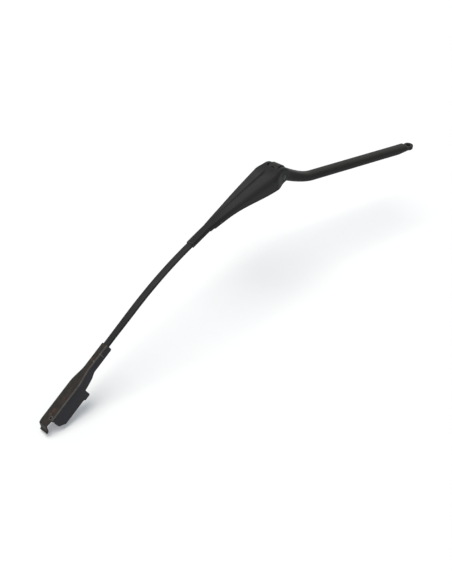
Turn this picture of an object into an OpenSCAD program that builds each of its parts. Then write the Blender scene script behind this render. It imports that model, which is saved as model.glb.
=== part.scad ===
// Windscreen wiper arm: cast head with a spindle eye, folded steel retainer on a hinge pin,
// tension spring with its link, flat steel rod and folded blade-end shell.
// The origin is on the spindle axis, on the underside of the eye. +X runs to the blade end.
// The arm is drawn as it hangs against its stop, off the glass.

/* [Spindle eye] */
// Diameter of the eye around the spindle
eye_d = 15; // [14:0.2:17]
// Thickness of the eye
eye_h = 5.6; // [5:0.2:7]
// Diameter of the spindle bore
bore_d = 6; // [5:0.5:8]
// Diameter of the flat that is milled for the spindle nut
nut_seat_d = 18.4; // [16:0.2:20]
// Width of the chamfer at the bore's edge
bore_chamfer = 0.6; // [0.3:0.1:1]

/* [Head bar] */
// Distance along X from the spindle to the hinge pin
hinge_reach = 247; // [210:0.5:290]
// Sideways distance from the spindle to the middle plane of the arm
crank = 73.7; // [55:0.1:90]
// Height of the hinge pin above the underside of the eye
hinge_height = 41.4; // [38:0.1:48]
// Width of the bar
bar_w = 16.6; // [15:0.2:17]
// Thickness of the bar
bar_t = 12.6; // [11:0.2:14]
// Height of the bar's middle above the underside of the eye, at the eye
bar_low_z = 2.4; // [2:0.1:3]
// Distance from the spindle axis to the bar's full thickness
thin_l = 24; // [20:1:30]
// Width of the neck
neck_w = 16; // [14:0.5:16.5]
// Thickness of the neck at the hinge
neck_t = 19; // [16:0.5:20]
// Height of the neck's middle above the hinge pin, at the hinge
neck_lift = 3; // [2:0.25:3.5]
// Length of the neck, from the hinge pin to the start of the straight bar
neck_l = 66; // [60:1:72]
// Height that the neck drops from the hinge pin to the bar
neck_drop = 27.7; // [24:0.1:29]

/* [Hinge] */
// Diameter of the hinge pin
hinge_pin_d = 7; // [6:0.5:7.5]
// Outer diameter of the bushes in the knuckle
bush_d = 9.6; // [9:0.2:10]
// Diameter of the bush flanges
flange_d = 15; // [14:0.5:18]
// Radius of the knuckle between the ears of the retainer
knuckle_r = 10.5; // [9.5:0.25:11]
// Radius of the crown that shows in the notch of the retainer
crown_r = 14.6; // [14:0.1:14.8]
// Width of the slot for the link
slot_w = 4.6; // [4.4:0.1:5.4]
// Diameter of the spring pin
spring_pin_d = 4; // [3.5:0.25:4.5]
// Distance of the spring pin behind the hinge pin
spring_pin_back = 6; // [5.8:0.1:6.4]
// Distance of the spring pin below the hinge pin
spring_pin_down = 5.5; // [5.3:0.1:5.9]
// Radius of the stop under the retainer's top
stop_r = 3; // [2.5:0.25:3.5]

/* [Spring and link] */
// Thickness of the link plate
link_t = 4; // [3:0.25:4]
// Distance between the two holes of the link
link_l = 32; // [30:0.5:36]
// Width of the link's arms
link_arm = 3.4; // [3:0.2:4]
// Diameter of the spring wire
wire_d = 1.8; // [1.6:0.1:2]
// Outer diameter of the spring
coil_d = 9.5; // [8.5:0.25:10]
// Number of turns
turns = 28; // [22:1:30]
// Diameter of the pin that holds the far end of the spring
anchor_pin_d = 3.6; // [3:0.2:3.8]
// Distance of that pin from the hinge pin, along the retainer
anchor_x = 125; // [122:0.5:128]
// Height of that pin over the hinge pin
anchor_z = 11; // [10.4:0.1:11.4]

/* [Retainer] */
// Thickness of the retainer's sheet
sheet_t = 1.2; // [1.1:0.1:1.5]
// Angle by which the retainer hangs below the row's X axis at its stop
rest_pitch = 11; // [6:0.5:14]
// Length from the hinge pin to the end of the collar
retainer_l = 178; // [174:1:186]
// Width across the ears
ear_w = 33; // [32.6:0.2:34.6]
// Largest width, just beyond the hinge
belly_w = 38.8; // [37:0.2:40]
// Distance of the largest width from the hinge pin
belly_x = 18; // [16:0.5:24]
// Height of the top over the hinge pin at its highest
crest_z = 17.7; // [17:0.1:19]
// Distance of the highest place from the hinge pin
crest_x = 95; // [85:1:105]
// Radius of the long arch of the top
crest_r = 1290; // [1100:10:1600]
// Rise of the dome over the knuckle
dome_h = 0.8; // [0.6:0.1:1.6]
// Distance from the hinge pin at which the dome starts to rise
dome_x = 24; // [20:0.5:26]
// Radius of the folds
fold_r = 3.4; // [2.6:0.1:4]
// Growth of the near fold's radius at the belly
near_swell = 5.5; // [3:0.5:6.5]
// Sideways distance of the crease from the middle, towards the far side
crease_side = 3; // [2:0.2:4]
// Depth of the pressed crease beyond the hinge
crease_depth = 2.2; // [1.4:0.1:2.6]
// Depth of the same crease at the collar
crease_end_depth = 0.5; // [0.3:0.1:0.8]
// Drop of the ears below the hinge pin
ear_drop = 8.4; // [8:0.1:9.4]
// Reach of the ears behind the hinge pin
tail_r = 13.2; // [12:0.1:14]
// Distance from the hinge pin to where the side walls have risen to their least depth
rise_l = 112; // [106:1:116]
// Length of the narrow collar
collar_l = 42; // [38:1:46]
// Length over which the sides of the retainer run out into the collar
flare_l = 8; // [6:0.5:10]
// Depth of the step where the side walls begin
flare_step = 1.5; // [1:0.1:2.4]
// Width of the notch for the neck
notch_w = 19; // [18.6:0.1:20]
// Reach of the notch beyond the hinge pin
notch_reach = 5; // [4.6:0.1:6]

/* [Rod] */
// Width of the flat rod
rod_w = 9; // [8:0.25:10]
// Thickness of the rod
rod_t = 4.6; // [4.2:0.1:5]
// Radius of the rod's rounded edges
rod_edge_r = 1.3; // [1:0.1:1.5]
// Radius of the rod's arch
arch_r = 485; // [430:5:520]
// Angle that the arch turns through
arch_angle = 12.9; // [8:0.1:15]
// Length of the straight stretch between the arch and the shell
rod_straight = 56; // [44:1:70]
// Length of rod inside the shell
rod_grip = 36; // [30:1:38]
// Twist of the shell against the retainer
shell_twist = 14; // [0:1:16]

/* [Blade-end shell] */
// Thickness of the shell's sheet
shell_t = 1.5; // [1.2:0.1:1.6]
// Width of the shell over the blade's adaptor
shell_w = 20.4; // [19:0.2:22]
// Length of the sleeve around the rod
sleeve_l = 38; // [36:1:42]
// Depth of the sleeve's side walls below the rod's middle
sleeve_drop = 6; // [5.6:0.1:6.6]
// Length from the sleeve's end to the deep side walls
flank_l = 20; // [16:1:24]
// Depth of the side walls in front of the tab
flank_drop = 8.6; // [7.6:0.2:10]
// Length of the deep side walls
wall_l = 51.5; // [44:0.5:56]
// Depth of the deep side walls below the rod's middle
wall_depth = 16; // [13:0.25:18]
// Depth of the tab at the rear end of the side walls
tab_depth = 2.2; // [1.4:0.2:4]
// Length of the tab
tab_l = 10.5; // [8:0.5:12]
// Length of the web beyond the side walls
tongue_l = 8; // [7:0.5:11]
// Width of the lip at the tip
lip_w = 15; // [12:0.5:15.5]
// Length of the lip
lip_l = 6.2; // [5:0.2:9]
// Angle by which the lip is bent down
lip_angle = 64; // [50:1:80]
// Length of the foot at the lip's edge
foot_l = 2.6; // [2:0.2:4]
// Diameter of the latch hole in the web
latch_d = 4; // [3:0.25:4.4]
// Distance of the latch hole from the bend of the lip
latch_back = 10; // [8:0.5:14]
// Sideways distance of the latch hole from the shell's middle
latch_side = 4.6; // [3:0.2:4.8]

/* [Fits] */
// Radial running clearance of pins that turn
run_gap = 0.06; // [0.02:0.01:0.1]
// Clearance where pieces are pressed, crimped or riveted together
press_gap = 0.02; // [0.01:0.01:0.05]
// Clearance between pieces that move past each other
move_gap = 0.4; // [0.3:0.05:0.6]

/* [Hidden] */
$fn = 64;
EPS = 0.01;

// Numbers that several pieces share
ear_gap = (ear_w - 2 * sheet_t) / 2;
flange_t = 0.6;
knuckle_w = 2 * (ear_gap - flange_t - move_gap);
bar_drop_z = hinge_height - neck_drop;
collar_x = retainer_l - collar_l;
wall_clear = press_gap * 2;
seam = 1.2;
max_lift = 60;
link_ratio = 0.944;

// Lengths along the retainer from the hinge pin: start of the tail's rounding, end of the flat ears,
// full height of the dome, start of the walls' rise, full depth of the crease; and the length over
// which the folds tighten before the collar
tail_from = 7;
ear_flat = 2;
dome_full = 4;
rise_from = 6;
crease_full = 26;
tighten_l = 30;
rod_tail = 6;
crease_end_side = 1;

// Helpers: a blend between two values, a smooth step, and points turned in the arm's plane
function mix(a, b, t) = a + (b - a) * t;
function clamp01(t) = max(0, min(1, t));
function ease(t) = let (c = clamp01(t)) c * c * (3 - 2 * c);
function unit(v) = v / norm(v);
function bezier(a, b, c, d, t) =
    let (s = 1 - t) s * s * s * a + 3 * s * s * t * b + 3 * s * t * t * c + t * t * t * d;

// Skin over a row of rings that all have the same even number of points. A ring's far half runs
// back beside its near half, so strips of triangles between the two close the ends.
module skin(rings) {
    n = len(rings[0]);
    m = len(rings);
    last = (m - 1) * n;
    polyhedron(
        points = [for (r = rings) each r],
        faces = [
            for (i = [0:n / 2 - 2])
                each [[i, i + 1, n - 2 - i], [i, n - 2 - i, n - 1 - i]],
            for (j = [0:m - 2], i = [0:n - 1])
                let (a = j * n + i, b = j * n + (i + 1) % n)
                each [[a, a + n, b], [b, a + n, b + n]],
            for (i = [0:n / 2 - 2])
                let (a = last + i, b = last + n - 1 - i)
                each [[b - 1, a + 1, a], [b, b - 1, a]]
        ],
        convexity = 8
    );
}

// Outline of a bar's section with full, rounded sides
function bar_outline(w, t, n = 20, power = 0.72) = [
    for (i = [0:n - 1])
        let (a = 360 * i / n, c = cos(a), s = sin(a))
        [sign(c) * pow(abs(c), power) * w / 2, sign(s) * pow(abs(s), power) * t / 2]
];

// Head

// The bar's line in plan runs from the spindle to the place where the neck turns into the arm's plane
turn_back = 14;
bar_run = hinge_reach - turn_back;
bar_dir = unit([bar_run, -crank, 0]);
bar_end_x = hinge_reach - neck_l;
bar_end = [bar_end_x, -crank * bar_end_x / bar_run, bar_drop_z];
bar_l = norm([bar_end[0], bar_end[1]]);
bar_rise = (bar_drop_z - bar_low_z) / bar_l;
hinge_at = [hinge_reach, -crank, hinge_height];
neck_reach = 20;
neck_slope = 0.62;
neck_a = bar_end + neck_reach * unit([bar_dir[0], bar_dir[1], bar_rise]);
neck_end = hinge_at + [0, 0, neck_lift];
neck_b = neck_end - neck_reach * [1, 0, neck_slope];

// Place on the straight bar's middle line, at a distance from the spindle axis
function bar_at(d) = bar_dir * d + [0, 0, bar_low_z + bar_rise * d];

// Each row: place on the head's line, width, thickness. The thin end lies in the eye.
eye_reach = eye_d / 2 - 0.4;
root_t = bar_t - 2.4;
bar_steps = 6;
neck_steps = 14;
head_rows = [
    [[0, 0, eye_h / 2], eye_d - 1.6, eye_h - 0.2],
    [bar_dir * eye_reach * 0.6 + [0, 0, eye_h / 2], bar_w - 1, eye_h - 0.2],
    [bar_at(eye_reach + 2) + [0, 0, (bar_t - root_t) / 2], bar_w, root_t],
    for (i = [0:bar_steps])
        let (t = i / bar_steps)
        [mix(bar_at(thin_l), bar_end, t), mix(bar_w, neck_w + 0.4, t), bar_t],
    for (i = [1:neck_steps])
        let (t = i / neck_steps)
        [bezier(bar_end, neck_a, neck_b, neck_end, t), mix(neck_w + 0.4, neck_w, t),
         mix(bar_t, neck_t, ease(t))]
];

function row_dir(rows, i) =
    let (last = len(rows) - 1)
    i < 4 ? bar_dir : unit(rows[min(i + 1, last)][0] - rows[i - 1][0]);

function bar_ring(rows, i) =
    let (
        d = row_dir(rows, i),
        side = unit(cross([0, 0, 1], d)),
        up = cross(d, side)
    )
    [for (p = bar_outline(rows[i][1], rows[i][2])) rows[i][0] + side * p[0] + up * p[1]];

module at_hinge() {
    translate(hinge_at) children();
}

// Stop that the retainer's top rests on, beyond the crown, with a small gap left at rest
stop_x = 9.5;
rest_gap = 0.35;
stop_z = top_z(stop_x) - sheet_t - crease(stop_x) - stop_r - rest_gap;

module cross_cylinder(r, l) {
    rotate([90, 0, 0]) cylinder(r = r, h = l, center = true);
}

module head() {
    color([0.16, 0.16, 0.15])
    difference() {
        union() {
            skin([for (i = [0:len(head_rows) - 1]) bar_ring(head_rows, i)]);
            cylinder(d = eye_d, h = eye_h);
            at_hinge() {
                cross_cylinder(knuckle_r, knuckle_w);
                cross_cylinder(crown_r, neck_w);
            }
            in_arm() translate([stop_x, 0, stop_z]) cross_cylinder(stop_r, neck_w);
        }
        translate([0, 0, -bar_t]) cylinder(d = bore_d, h = 3 * bar_t);
        translate([0, 0, eye_h]) cylinder(d = nut_seat_d, h = bar_t);
        translate([0, 0, eye_h - bore_chamfer])
            cylinder(d1 = bore_d, d2 = bore_d + 2 * bore_chamfer + 2 * EPS, h = bore_chamfer + EPS);
        translate([0, 0, -bar_t]) cylinder(d = eye_d + 2, h = bar_t);
        at_hinge() {
            cross_cylinder(bush_d / 2 + press_gap, 2 * ear_w);
            translate([-spring_pin_back, 0, -spring_pin_down])
                cross_cylinder(spring_pin_d / 2 + press_gap, 2 * ear_w);
            link_slot();
        }
    }
}

// Room for the link between the two cheeks of the knuckle, open to the front and below. The crown
// stays whole behind the line that the link reaches when the arm is lifted.
module link_slot() {
    slot_back = spring_pin_back + eye_r + 2 * move_gap;
    eye_room = eye_r + move_gap;
    difference() {
        translate([-slot_back, -slot_w / 2, -2 * crown_r])
            cube([2 * crown_r + slot_back, slot_w, 4 * crown_r]);
        translate([-spring_pin_back, 0, -spring_pin_down])
        rotate([0, rest_pitch - pull_angle - link_ratio * max_lift, 0]) {
            translate([-2 * crown_r, -slot_w, eye_room]) cube([4 * crown_r, 2 * slot_w, 4 * crown_r]);
            translate([eye_room, -slot_w, link_arm / 2 + move_gap])
                cube([4 * crown_r, 2 * slot_w, 4 * crown_r]);
        }
    }
}

// Flanged plastic bush, side = 1 for the near cheek, -1 for the far one
module hinge_bush(side) {
    bush_l = knuckle_w / 2 - slot_w / 2;
    color([0.75, 0.73, 0.66])
    at_hinge() rotate([-90 * side, 0, 0])
    difference() {
        union() {
            translate([0, 0, slot_w / 2]) cylinder(d = bush_d, h = bush_l);
            translate([0, 0, knuckle_w / 2]) cylinder(d = flange_d, h = flange_t);
        }
        translate([0, 0, -EPS]) cylinder(d = hinge_pin_d + 2 * run_gap, h = ear_w);
    }
}

module hinge_bush_near() {
    hinge_bush(1);
}

module hinge_bush_far() {
    hinge_bush(-1);
}

module spring_pin() {
    color([0.62, 0.62, 0.60])
    at_hinge() translate([-spring_pin_back, 0, -spring_pin_down])
        cross_cylinder(spring_pin_d / 2, neck_w - 0.6);
}

// Spring, link and their line of pull, in the retainer's own frame: x along it, z up, from the hinge pin
cp = cos(rest_pitch);
sp = sin(rest_pitch);
spring_pin_x = -spring_pin_back * cp + spring_pin_down * sp;
spring_pin_z = -spring_pin_back * sp - spring_pin_down * cp;
pull_x = anchor_x - spring_pin_x;
pull_z = anchor_z - spring_pin_z;
pull_angle = atan2(pull_z, pull_x);
pull_l = norm([pull_x, pull_z]);

// Carries a piece from the retainer's frame to the row's frame
module in_arm() {
    at_hinge() rotate([0, rest_pitch, 0]) children();
}

// Carries a piece from the line of pull, which starts at the spring pin, to the row's frame
module in_pull() {
    in_arm() translate([spring_pin_x, 0, spring_pin_z]) rotate([0, -pull_angle, 0]) children();
}

// C-shaped link: its bow goes round the hinge pin when the arm is folded up
link_clear = 0.8;
eye_r = norm([spring_pin_back, spring_pin_down]) - hinge_pin_d / 2 - link_clear;
pin_path_r = norm([spring_pin_back, spring_pin_down]);
pin_end_angle = -24.8;
bow_r = hinge_pin_d / 2 + 1.2;
bow_x = pin_path_r * cos(pin_end_angle) + 0.3;
bow_z = pin_path_r * sin(pin_end_angle);
tail_hole_r = wire_d / 2 + 0.8;

module link_outline() {
    outer_r = bow_r + link_arm;
    difference() {
        union() {
            circle(r = eye_r);
            intersection() {
                translate([bow_x, bow_z]) circle(r = outer_r);
                translate([bow_x - outer_r, bow_z - outer_r]) square([2 * outer_r, outer_r + EPS]);
            }
            translate([bow_x - outer_r, bow_z]) square([link_arm, -bow_z]);
            translate([bow_x + bow_r, bow_z]) square([link_arm, link_arm / 2 - bow_z]);
            translate([bow_x + bow_r, -link_arm / 2]) square([link_l - bow_x - bow_r, link_arm]);
            translate([link_l, 0]) circle(r = tail_hole_r + 2.2);
        }
        translate([bow_x, bow_z]) circle(r = bow_r);
        translate([bow_x - bow_r, bow_z]) square([2 * bow_r, -bow_z]);
        circle(r = spring_pin_d / 2 + run_gap);
        translate([link_l, 0]) circle(r = tail_hole_r);
    }
}

module spring_link() {
    color([0.55, 0.54, 0.50])
    in_pull() rotate([90, 0, 0])
        linear_extrude(height = link_t, center = true) link_outline();
}

// Spring path: a flat hook through the link, the coil, and a long hook round the anchor pin
coil_r = (coil_d - wire_d) / 2;
coil_pitch = wire_d * 1.12;
coil_x = link_l + 7;
coil_l = turns * coil_pitch;
turn_steps = 10;
hook_r = anchor_pin_d / 2 + wire_d / 2 + 0.15;
loop_r = 3.4;
function link_hook() = [
    for (a = [-130:20:150]) [link_l + loop_r + loop_r * cos(180 + a), loop_r * sin(180 + a), 0]
];
function coil_points() = [
    for (i = [0:turns * turn_steps])
        let (a = 360 * i / turn_steps + 90)
        [coil_x + coil_l * i / (turns * turn_steps), coil_r * cos(a), coil_r * sin(a)]
];
function anchor_hook() = [
    [coil_x + coil_l + 3, 0, -hook_r],
    [mix(coil_x + coil_l, pull_l, 0.5), 0, -hook_r],
    for (a = [-90:30:150]) [pull_l + hook_r * cos(a), 0, hook_r * sin(a)]
];
function spring_path() = concat(link_hook(), coil_points(), anchor_hook());

function path_dir(path, i) = unit(path[min(i + 1, len(path) - 1)] - path[max(i - 1, 0)]);

// Carries a side direction along the path with the least turning
function carried(path) =
    let (d0 = path_dir(path, 0), s0 = unit(cross(d0, [0.3, 0.2, 1])))
    [for (i = 0, s = s0; i < len(path); i = i + 1,
          d = path_dir(path, min(i, len(path) - 1)), s = unit(s - d * (s * d))) s];

module wire(path, d, sides = 6) {
    near = carried(path);
    skin([
        for (i = [0:len(path) - 1])
            let (dir = path_dir(path, i), up = cross(dir, near[i]))
            [for (k = [0:sides - 1])
                path[i] + (near[i] * cos(360 * k / sides) + up * sin(360 * k / sides)) * d / 2]
    ]);
}

module tension_spring() {
    color([0.35, 0.35, 0.36])
    in_pull() wire(spring_path(), wire_d);
}

module hinge_pin() {
    color([0.62, 0.62, 0.60])
    at_hinge() cross_cylinder(hinge_pin_d / 2, ear_w + 1.2);
}

module anchor_pin() {
    color([0.62, 0.62, 0.60])
    in_arm() translate([anchor_x, 0, anchor_z])
        cross_cylinder(anchor_pin_d / 2, 2 * half_width(anchor_x) + 1);
}

// Retainer

function tail_round(x, from) = sqrt(max(0, 1 - pow((from - x) / (from + tail_r), 2)));
function dome(x) = dome_h * (1 - ease((x - dome_full) / (dome_x - dome_full)));
function top_z(x) =
    x >= tail_from ? crest_z - pow(x - crest_x, 2) / (2 * crest_r) + dome(x)
                   : top_z(tail_from) * tail_round(x, tail_from);
function half_width(x) =
    x < belly_x ? mix(ear_w, belly_w, ease((x - ear_flat) / (belly_x - ear_flat))) / 2
                : mix(belly_w, collar_w, clamp01((x - belly_x) / (collar_x + flare_l - belly_x))) / 2;
collar_w = rod_w + 2 * (wall_clear + sheet_t);
rod_line_z0 = top_z(collar_x) - sheet_t - wall_clear - rod_t / 2;
rod_line_z1 = top_z(retainer_l) - sheet_t - wall_clear - rod_t / 2;
rod_slope = atan2(rod_line_z1 - rod_line_z0, collar_l);
function rod_mid_z(x) = rod_line_z0 + (x - collar_x) * tan(rod_slope);
function collar_bottom(x) = rod_mid_z(x) - rod_t / 2 - wall_clear - sheet_t;

// Lower edge of the side walls: round ears, then one long rise to the step at the collar
wall_top = collar_bottom(collar_x) - flare_step;
function wall_z(x) =
    x < 0 ? -ear_drop * tail_round(x, 0) :
    x <= collar_x ? mix(-ear_drop, wall_top, ease((x - rise_from) / (rise_l - rise_from))) :
    collar_bottom(x);
function past_crease(x) = clamp01((x - crease_full) / (collar_x - crease_full));
function crease(x) =
    x < crease_full ? crease_depth * ease((x - tail_from) / (crease_full - tail_from))
                    : mix(crease_depth, crease_end_depth, past_crease(x));

// The sheet's inner skin is flat again where the rod begins
function inner_crease(x) = crease(x) * (1 - ease((x - collar_x + tighten_l) / (tighten_l - rod_tail)));

// Outer radius of the folds: it tightens where the sheet closes round the rod
tight_r = sheet_t + rod_edge_r - wall_clear;
function retainer_fold(x) = mix(fold_r, tight_r, ease((x - collar_x + tighten_l) / tighten_l));

arc_steps = 3;
function fold_arc(cx, cz, r, a0, a1) = [
    for (i = [0:arc_steps]) let (a = mix(a0, a1, i / arc_steps)) [cx + r * cos(a), cz + r * sin(a)]
];

// The near fold is fuller than the far one over the belly
function near_fold(x) = retainer_fold(x) + near_swell * ease(x / crease_full) * (1 - past_crease(x));
function crease_y(x) = -mix(crease_side, crease_end_side, past_crease(x));

// Closed outline of a channel: half width, top, wall's lower edge, sheet, near and far fold, depth and
// place of the crease. The crease drops steeply on its far side and rises gently to the near fold.
crease_flank = 1.6;
function channel(hw, zt, zb, t, rn, rf, dip, inner_dip, yc) =
    let (wi = hw - t, zi = zt - t)
    concat(
        [[hw, zb]],
        fold_arc(hw - rn, zt - rn, rn, 0, 90),
        [[yc, zt - dip], [yc - crease_flank, zt - dip * 0.1]],
        fold_arc(-hw + rf, zt - rf, rf, 90, 180),
        [[-hw, zb], [-wi, zb]],
        fold_arc(-hw + rf, zt - rf, rf - t, 180, 90),
        [[yc - crease_flank, zi - inner_dip * 0.1], [yc, zi - inner_dip]],
        fold_arc(hw - rn, zt - rn, rn - t, 90, 0),
        [[wi, zb]]
    );

ear_steps = 6;
retainer_xs = concat(
    [for (i = [0:ear_steps]) -0.985 * tail_r * cos(90 * i / ear_steps)],
    [for (i = [1:4]) mix(0, dome_x, i / 4)],
    [for (i = [1:2]) mix(dome_x, belly_x + 4, i / 2)],
    [for (i = [1:12]) mix(belly_x + 4, collar_x, i / 12)],
    [collar_x + 1, collar_x + flare_l, mix(collar_x + flare_l, retainer_l, 0.5), retainer_l]
);

function retainer_ring(x) = [
    for (p = channel(half_width(x), top_z(x), wall_z(x), sheet_t, near_fold(x), retainer_fold(x),
                     crease(x), inner_crease(x), crease_y(x)))
        [x, p[0], p[1]]
];

module retainer() {
    color([0.22, 0.22, 0.22])
    in_arm()
    difference() {
        union() {
            skin([for (x = retainer_xs) retainer_ring(x)]);
            for (s = [-1, 1]) collar_lip(s);
        }
        translate([-2 * tail_r, -notch_w / 2, -2 * tail_r])
            cube([2 * tail_r + notch_reach, notch_w, 4 * tail_r]);
        cross_cylinder(hinge_pin_d / 2 + press_gap, 2 * ear_w);
        translate([anchor_x, 0, anchor_z]) cross_cylinder(anchor_pin_d / 2 + press_gap, 2 * ear_w);
        for (s = [-1, 1]) collar_edge(s);
    }
}

// Carries a piece to the start of the closed collar: x along the rod, z up, from the rod's middle
lip_x = collar_x + flare_l;
module in_collar() {
    translate([lip_x, 0, rod_mid_z(lip_x)]) rotate([0, -rod_slope, 0]) children();
}

// What the rounding takes off the collar's lower edge
module collar_edge(side) {
    room = tight_r + 1;
    in_collar()
    translate([0, side * (collar_w / 2 - tight_r), tight_r - rod_t / 2 - wall_clear - sheet_t])
    difference() {
        translate([0, side > 0 ? 0 : -room, -room]) cube([collar_l, room, room]);
        translate([-1, 0, 0]) rotate([0, 90, 0]) cylinder(r = tight_r, h = collar_l + 2);
    }
}

// Edge of the collar that is folded in under the rod
module collar_lip(side) {
    in_collar() translate([0, side > 0 ? seam / 2 : -collar_w / 2, -rod_t / 2 - wall_clear - sheet_t])
            cube([retainer_l - lip_x - 0.2, collar_w / 2 - seam / 2, sheet_t]);
}

// Rod: flat bar, straight in the collar, arched, then straight and twisted into the shell
rod_start = [collar_x + rod_tail, rod_mid_z(collar_x + rod_tail)];
collar_run = (retainer_l + 3 - rod_start[0]) / cos(rod_slope);
arch_l = arch_r * arch_angle * PI / 180;
end_slope = rod_slope - arch_angle;
arch_start = rod_start + collar_run * [cos(rod_slope), sin(rod_slope)];
arch_centre = arch_start + arch_r * [sin(rod_slope), -cos(rod_slope)];
arch_end = arch_centre + arch_r * [-sin(end_slope), cos(end_slope)];
shell_at = arch_end + rod_straight * [cos(end_slope), sin(end_slope)];
twist_end = shell_at - 4 * [cos(end_slope), sin(end_slope)];
rod_tip = shell_at + rod_grip * [cos(end_slope), sin(end_slope)];

arch_steps = 12;
// Each row: place in the arm's plane, slope, twist
rod_rows = concat(
    [[rod_start, rod_slope, 0], [arch_start, rod_slope, 0]],
    [for (i = [1:arch_steps])
        let (t = i / arch_steps, a = rod_slope - arch_angle * t)
        [arch_centre + arch_r * [-sin(a), cos(a)], a, 0]],
    [for (i = [1:4])
        let (t = i / 4)
        [mix(arch_end, twist_end, t), end_slope, shell_twist * ease(t)]],
    [[rod_tip, end_slope, shell_twist]]
);
function rod_outline() =
    let (w = rod_w / 2 - rod_edge_r, t = rod_t / 2 - rod_edge_r)
    [for (c = [[w, t, 0], [-w, t, 90], [-w, -t, 180], [w, -t, 270]], a = [0, 45, 90])
        [c[0] + rod_edge_r * cos(c[2] + a), c[1] + rod_edge_r * sin(c[2] + a)]];

// A section's point, y across and z up, set at a place, slope and twist in the arm's plane
function placed(at, slope, twist, p) =
    let (y = p[0] * cos(twist) - p[1] * sin(twist), z = p[0] * sin(twist) + p[1] * cos(twist))
    [at[0] - z * sin(slope), y, at[1] + z * cos(slope)];

module rod() {
    color([0.20, 0.20, 0.21])
    in_arm() skin([for (r = rod_rows) [for (p = rod_outline()) placed(r[0], r[1], r[2], p)]]);
}

// Blade-end shell, in its own frame: x along the rod's end, from the sleeve's rear edge
module in_shell() {
    in_arm() translate([shell_at[0], 0, shell_at[1]])
        rotate([0, -end_slope, 0]) rotate([shell_twist, 0, 0]) children();
}

sleeve_w = rod_w + 2 * (wall_clear + shell_t);
sleeve_z = rod_t / 2 + wall_clear + shell_t;
web_rise = 0.4;
web_z = sleeve_z + web_rise;
flank_x = sleeve_l + flank_l;
wall_end = flank_x + wall_l;
web_end = wall_end + tongue_l;
sleeve_fold_r = shell_t + rod_edge_r - wall_clear;
shell_fold_r = 2.8;
grow_from = sleeve_l - 4;
grow_l = flank_l + 6;
function grown(x) = ease((x - grow_from) / grow_l);
function shell_half(x) = mix(sleeve_w, shell_w, grown(x)) / 2;
function shell_top(x) = mix(sleeve_z, web_z, grown(x));
function shell_fold(x) = mix(sleeve_fold_r, shell_fold_r, grown(x));
shell_xs = concat(
    [0],
    [for (i = [0:8]) grow_from + grow_l * i / 8],
    [wall_end, web_end]
);
below = 2 * wall_depth;

// Side view of what is left of the walls
module wall_outline() {
    under_web = web_z - shell_fold_r - 0.5;
    foot_z = -wall_depth - tab_depth;
    front_cut = 7;
    polygon([
        [-1, web_z + 2], [-1, -sleeve_drop], [grow_from, -sleeve_drop], [sleeve_l + 4, -flank_drop],
        [flank_x, -flank_drop], [flank_x, foot_z + 2], [flank_x + 2, foot_z],
        [flank_x + tab_l - 2, foot_z], [flank_x + tab_l, -wall_depth], [wall_end - front_cut, -wall_depth],
        [wall_end + 1.2, -wall_depth + front_cut], [wall_end + 1.2, under_web - 5],
        [wall_end - 1, under_web], [web_end + 1, under_web], [web_end + 1, web_z + 2]
    ]);
}

// Plan of what is left of the web: narrow at the lip, with a notch between the lip and the near wall
lip_far = -shell_w / 2 + 2.6;
module web_outline() {
    far = -shell_w / 2;
    near = shell_w / 2;
    polygon([
        [-1, far - 1], [web_end - 5, far - 1], [web_end - 5, far + 0.2], [web_end, lip_far],
        [web_end, lip_far + lip_w], [web_end - 2, lip_far + lip_w + 0.3], [wall_end + 1, near - 2],
        [wall_end - 1, near + 1], [-1, near + 1]
    ]);
}

// Lip bent down at the tip, with a foot along its edge
lip_bend = 2.4;
foot_turn = 46;
module sector(r, a0, a1) {
    polygon([[0, 0], for (i = [0:2]) let (a = mix(a0, a1, i / 2)) [2 * r * cos(a), 2 * r * sin(a)]]);
}

module lip_outline() {
    translate([0, -lip_bend]) {
        intersection() {
            difference() {
                circle(r = lip_bend);
                circle(r = lip_bend - shell_t);
            }
            sector(lip_bend, 90 - lip_angle, 90);
        }
        rotate(-lip_angle) translate([-EPS, lip_bend - shell_t]) {
            square([lip_l, shell_t]);
            translate([lip_l, shell_t]) {
                intersection() {
                    circle(r = shell_t);
                    sector(shell_t, -90 - 1, -90 + foot_turn + 1);
                }
                rotate(foot_turn) translate([0, -shell_t]) square([foot_l, shell_t]);
            }
        }
    }
}

function shell_ring(x) = [
    for (p = channel(shell_half(x), shell_top(x), -below, shell_t, shell_fold(x), shell_fold(x), 0, 0, 0))
        [x, p[0], p[1]]
];

module blade_shell() {
    color([0.19, 0.18, 0.19])
    in_shell()
    difference() {
        union() {
            intersection() {
                skin([for (x = shell_xs) shell_ring(x)]);
                rotate([90, 0, 0]) linear_extrude(height = 3 * shell_w, center = true) wall_outline();
                translate([0, 0, -below]) linear_extrude(height = 2 * below) web_outline();
            }
            for (s = [-1, 1]) sleeve_lip(s);
            translate([web_end - EPS, lip_far + lip_w, web_z])
                rotate([90, 0, 0]) linear_extrude(height = lip_w) lip_outline();
        }
        translate([web_end - latch_back, latch_side, -below]) cylinder(d = latch_d, h = 2 * below);
    }
}

// Edge of the sleeve that is folded in under the rod
module sleeve_lip(side) {
    translate([0.2, side > 0 ? seam / 2 : -sleeve_w / 2 + 0.2, -sleeve_z])
        cube([grow_from - 1, sleeve_w / 2 - seam / 2 - 0.2, shell_t]);
}

head();
hinge_bush_near();
hinge_bush_far();
spring_pin();
spring_link();
hinge_pin();
retainer();
anchor_pin();
tension_spring();
rod();
blade_shell();
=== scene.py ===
import math

import bmesh
import bpy
from mathutils import Matrix, Vector


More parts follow.
